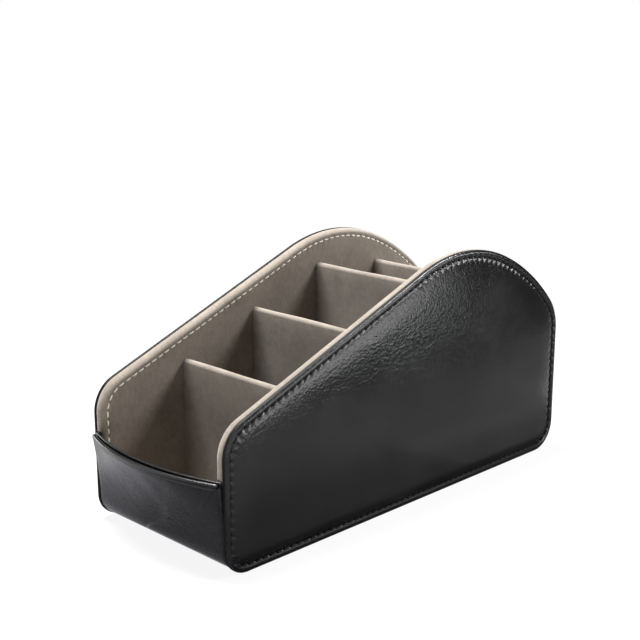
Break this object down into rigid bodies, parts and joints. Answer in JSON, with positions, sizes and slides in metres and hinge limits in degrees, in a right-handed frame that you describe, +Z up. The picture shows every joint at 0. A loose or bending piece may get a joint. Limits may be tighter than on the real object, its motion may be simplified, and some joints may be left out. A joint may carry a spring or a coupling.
{
  "type": "remote control holder",
  "caption": "Desk caddy with tall curved leather-covered sides, a low bowed front and upright lined pockets for remote controls, open at the top.",
  "frame": {"origin": "middle of the footprint, on the surface that the caddy stands on", "axes": "+Z up, +Y from the low front to the tall back, +X to the right seen from the front"},
  "size_m": [0.095, 0.2518, 0.1216],
  "materials": {
    "leather": "semi-gloss, fine grain",
    "leather_trim": "semi-gloss, smooth rolled edge",
    "suede": "short matt nap"
  },
  "bodies": {
    "root": {"right_side_board": "leather", "left_side_board": "leather", "right_side_lining": "suede", "left_side_lining": "suede", "wrap_strip": "leather", "front_edge_roll": "leather_trim", "front_inner_binding": "leather_trim", "back_edge_roll": "leather_trim", "back_inner_binding": "leather_trim", "front_lining": "suede", "folded_lining": "suede", "divider_1": "suede", "divider_2": "suede", "divider_3": "suede", "divider_4": "suede"}
  },
  "joints": []
}
